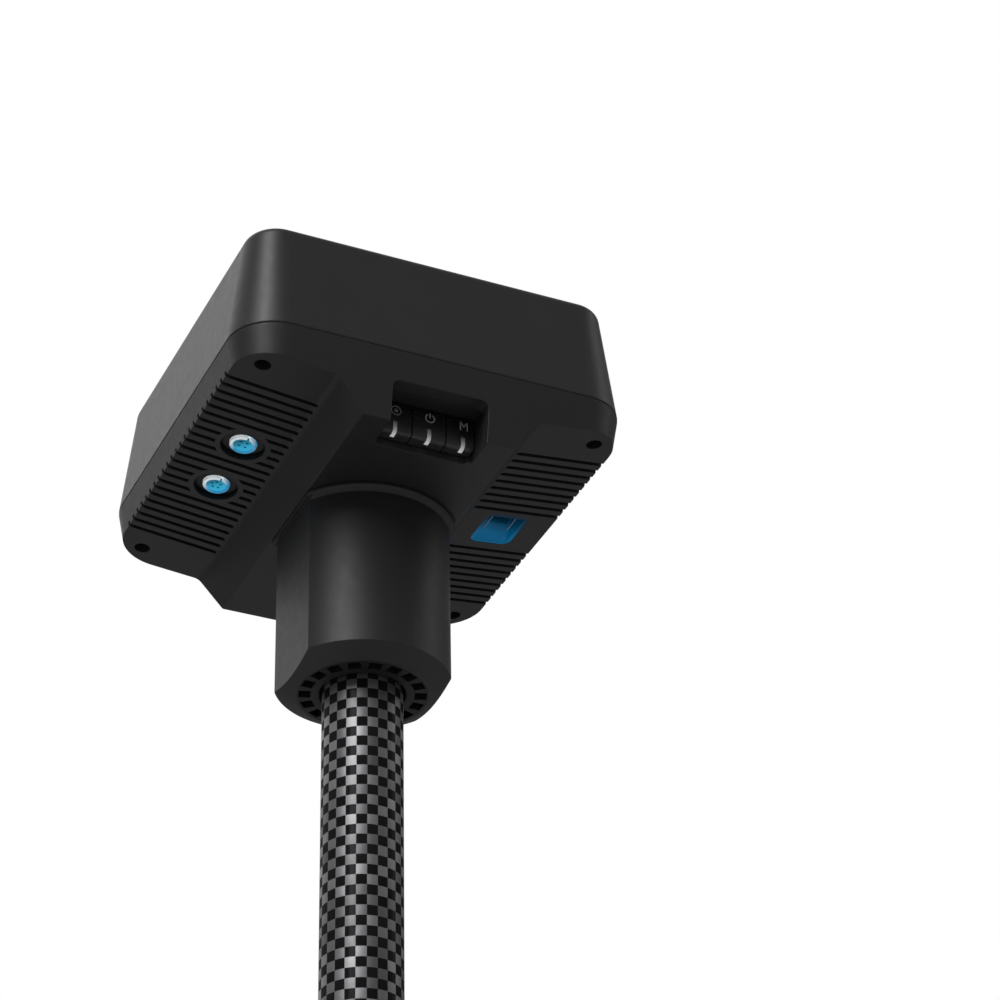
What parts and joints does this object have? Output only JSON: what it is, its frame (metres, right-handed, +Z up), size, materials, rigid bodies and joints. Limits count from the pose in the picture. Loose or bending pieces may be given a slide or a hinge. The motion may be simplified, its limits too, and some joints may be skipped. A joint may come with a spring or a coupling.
{
  "type": "survey receiver pole",
  "caption": "Square satellite survey receiver on a two-section carbon pole with steel point, coupling collar and a sliding ball-arm cradle for a field controller.",
  "frame": {"origin": "the tip of the pole's steel point", "axes": "+Z up the pole, -Y the side with the keys, +X the side the bracket reaches out"},
  "size_m": [0.2187, 0.1524, 1.844],
  "materials": {
    "shell": "fine matt charcoal moulded plastic",
    "base": "fine matt charcoal moulded plastic",
    "inner_plastic": "plain black moulded plastic",
    "carbon": "lacquered carbon weave",
    "steel": "turned hardened steel",
    "aluminium_dark": "black anodised",
    "aluminium": "turned, plain",
    "brass": "turned brass",
    "rubber": "soft black rubber",
    "socket_ring": "bright ring with a blue cast",
    "socket_blue": "blue insulator",
    "port_blue": "deep blue moulding",
    "key": "dark satin key",
    "light_pipe": "clear frosted light pipe",
    "board": "green circuit board",
    "can": "pressed shield",
    "ceramic": "fired antenna ceramic",
    "cell": "sleeved battery cell",
    "sleeve": "satin black coated metal"
  },
  "bodies": {
    "lower_pole": {"pole_point": "steel", "point_holder": "aluminium", "lower_tube": "carbon", "lower_socket": "aluminium_dark"},
    "collar": {"lock_collar": "aluminium_dark"},
    "upper_pole": {"upper_spigot": "aluminium", "upper_tube": "carbon", "pole_top_plug": "aluminium", "sleeve_bush": "sleeve", "sleeve_retaining_ring": "steel"},
    "seat": {"seat_washer": "rubber"},
    "receiver": {"top_cover": "shell", "cover_gasket": "rubber", "base_casing": "base", "casing_screws": "steel", "neck_housing": "base", "neck_screws": "steel", "pole_socket": "inner_plastic", "thread_insert": "brass", "receiver_board": "board", "shield_cans": "can", "radio_module": "can", "antenna_posts": "aluminium", "antenna_ground_plane": "board", "antenna_element": "ceramic", "antenna_feed_pin": "brass", "antenna_screws": "steel", "battery_cells": "cell", "battery_tray": "inner_plastic", "data_socket_shells": "socket_ring", "data_socket_inserts": "socket_blue", "data_socket_contacts": "brass", "data_socket_seals": "rubber", "data_socket_nuts": "aluminium", "card_port_liner": "port_blue", "card_socket": "can", "key_frame": "inner_plastic", "key_switches": "inner_plastic", "key_board": "board"},
    "record_button": {"record_key": "key", "record_light_pipe": "light_pipe"},
    "power_button": {"power_key": "key", "power_light_pipe": "light_pipe"},
    "mode_button": {"mode_key": "key", "mode_light_pipe": "light_pipe"},
    "sleeve": {"bracket_sleeve": "sleeve", "bracket_rail": "aluminium_dark", "rail_screws": "steel"},
    "carriage": {"carriage_nut": "steel", "ball_stud": "steel"},
    "arm": {"ball_housing": "inner_plastic", "arm_body": "inner_plastic", "lever_pin": "steel"},
    "lever": {"clamp_lever": "inner_plastic"},
    "cradle": {"cradle_body": "inner_plastic", "cradle_pads": "rubber", "jaw_springs": "steel"},
    "jaw": {"sliding_jaw": "inner_plastic", "jaw_pad": "rubber", "guide_rods": "steel"}
  },
  "joints": [
    {"name": "collar_turn", "type": "hinge", "parent": "lower_pole", "child": "collar", "pos_m": [0, 0, 1.2647], "axis": [0, 0, 1], "range_deg": [0, 90]},
    {"name": "upper_pole_lift", "type": "slide", "parent": "lower_pole", "child": "upper_pole", "axis": [0, 0, 1], "range_m": [0, 0.05]},
    {"name": "receiver_rise", "type": "slide", "parent": "upper_pole", "child": "seat", "axis": [0, 0, 1], "range_m": [0, 0.01155]},
    {"name": "receiver_turn", "type": "hinge", "parent": "seat", "child": "receiver", "pos_m": [0, 0, 1.7848], "axis": [0, 0, 1], "range_deg": [0, 1800]},
    {"name": "record_press", "type": "slide", "parent": "receiver", "child": "record_button", "axis": [0, 1, 0], "range_m": [0, 0.0008], "stiffness_N_per_m": 2500, "springref_m": -0.0004},
    {"name": "power_press", "type": "slide", "parent": "receiver", "child": "power_button", "axis": [0, 1, 0], "range_m": [0, 0.0008], "stiffness_N_per_m": 2500, "springref_m": -0.0004},
    {"name": "mode_press", "type": "slide", "parent": "receiver", "child": "mode_button", "axis": [0, 1, 0], "range_m": [0, 0.0008], "stiffness_N_per_m": 2500, "springref_m": -0.0004},
    {"name": "sleeve_swing", "type": "hinge", "parent": "upper_pole", "child": "sleeve", "pos_m": [0, 0, 1.3645], "axis": [0, 0, 1], "continuous": true},
    {"name": "carriage_slide", "type": "slide", "parent": "sleeve", "child": "carriage", "axis": [0, 0, 1], "range_m": [-0.075, 0.018]},
    {"name": "arm_tilt", "type": "hinge", "parent": "carriage", "child": "arm", "pos_m": [0.044, 0, 1.3885], "axis": [0, 1, 0], "range_deg": [-28, 28]},
    {"name": "lever_turn", "type": "hinge", "parent": "arm", "child": "lever", "pos_m": [0.0795, 0, 1.4009], "axis": [0, 1, 0], "range_deg": [0, 60]},
    {"name": "cradle_spin", "type": "hinge", "parent": "arm", "child": "cradle", "pos_m": [0.087, 0, 1.3885], "axis": [1, 0, 0], "range_deg": [-90, 90]},
    {"name": "jaw_open", "type": "slide", "parent": "cradle", "child": "jaw", "axis": [0, 0, 1], "range_m": [0, 0.03], "stiffness_N_per_m": 250, "springref_m": -0.02, "deforming": ["jaw_springs"]}
  ],
  "couplings": [
    {"joint": "receiver_rise", "follows": "receiver_turn", "m_per_rad": 0.0003675}
  ]
}
